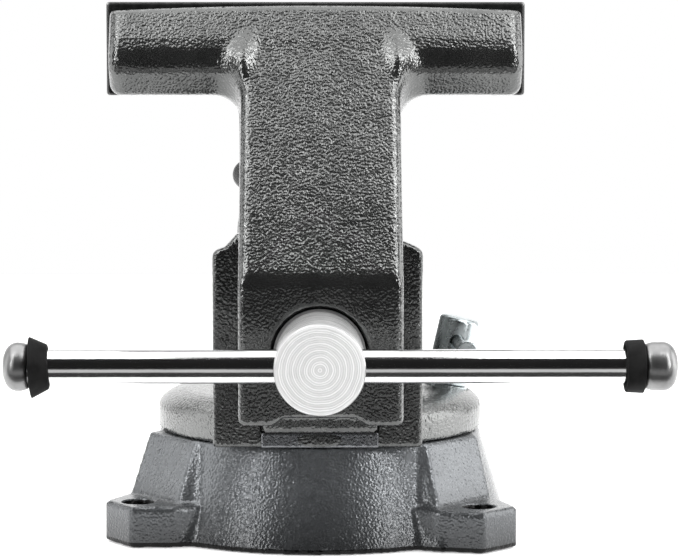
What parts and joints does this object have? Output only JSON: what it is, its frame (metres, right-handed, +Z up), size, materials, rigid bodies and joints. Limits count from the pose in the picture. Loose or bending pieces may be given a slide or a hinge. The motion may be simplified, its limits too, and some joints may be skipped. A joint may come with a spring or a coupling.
{
  "type": "bench vise",
  "caption": "Cast bench vise on a swivel base, with wide plated jaws, pipe jaws, an anvil, a screw with a sliding bar handle and a swivel lock bolt.",
  "frame": {"origin": "on the swivel axis, in the plane of the bench top that the base rests on", "axes": "+Z up along the swivel axis, -Y towards the handle side, +X to the right as seen from the handle side"},
  "size_m": [0.2376, 0.276, 0.207],
  "materials": {
    "hammertone_paint": "glossy dark grey hammertone enamel over rough cast iron",
    "black_steel": "hardened steel with a black oxide finish",
    "turned_steel": "bright turned steel with fine tool rings",
    "polished_steel": "polished ground steel rod",
    "satin_steel": "satin steel, turned",
    "black_rubber": "matt black moulded rubber",
    "zinc_plate": "bright zinc plating, slightly blue",
    "painted_bolt": "dark painted steel",
    "cast_iron": "bare cast iron",
    "dark_steel": "oiled steel"
  },
  "bodies": {
    "base": {"base_casting": "hammertone_paint", "pivot_bolt": "zinc_plate", "pivot_washer": "zinc_plate", "pivot_nut": "zinc_plate"},
    "head": {"static_body": "hammertone_paint", "rear_jaw_plate": "black_steel", "rear_plate_screws": "dark_steel", "rear_pipe_jaw": "black_steel", "pipe_jaw_bolt": "painted_bolt", "main_nut": "cast_iron", "nut_screws": "zinc_plate", "lock_nut": "zinc_plate", "lock_washer": "zinc_plate"},
    "lock": {"lock_bolt": "zinc_plate"},
    "lock_lever": {"lock_bar": "zinc_plate"},
    "front_jaw": {"front_jaw_casting": "hammertone_paint", "front_jaw_plate": "black_steel", "front_plate_screws": "dark_steel", "front_pipe_jaw": "black_steel", "pipe_jaw_pin": "dark_steel", "thrust_washer": "dark_steel"},
    "screw": {"spindle": "turned_steel", "return_spring": "dark_steel", "collar_washer": "dark_steel", "spindle_collar": "dark_steel", "collar_pin": "dark_steel"},
    "handle": {"handle_rod": "polished_steel", "left_end": "satin_steel", "right_end": "satin_steel", "left_bumper": "black_rubber", "right_bumper": "black_rubber"}
  },
  "joints": [
    {"name": "swivel", "type": "hinge", "parent": "base", "child": "head", "pos_m": [0, 0, 0], "axis": [0, 0, 1], "continuous": true},
    {"name": "lock_turn", "type": "hinge", "parent": "head", "child": "lock", "pos_m": [0.05, 0, 0.055], "axis": [0.225, 0, 0.9744], "range_deg": [0, 180]},
    {"name": "lock_bar_slide", "type": "slide", "parent": "lock", "child": "lock_lever", "axis": [0.068, -0.9976, -0.0157], "range_m": [-0.026, 0]},
    {"name": "jaw_slide", "type": "slide", "parent": "head", "child": "front_jaw", "axis": [0, -1, 0], "range_m": [0, 0.14]},
    {"name": "screw_turn", "type": "hinge", "parent": "front_jaw", "child": "screw", "pos_m": [0, -0.124, 0.077], "axis": [0, -1, 0], "range_deg": [0, 10080]},
    {"name": "handle_slide", "type": "slide", "parent": "screw", "child": "handle", "axis": [1, 0, 0], "range_m": [-0.0902, 0.078]}
  ],
  "couplings": [
    {"joint": "jaw_slide", "follows": "screw_turn", "m_per_rad": 0.00079577}
  ]
}
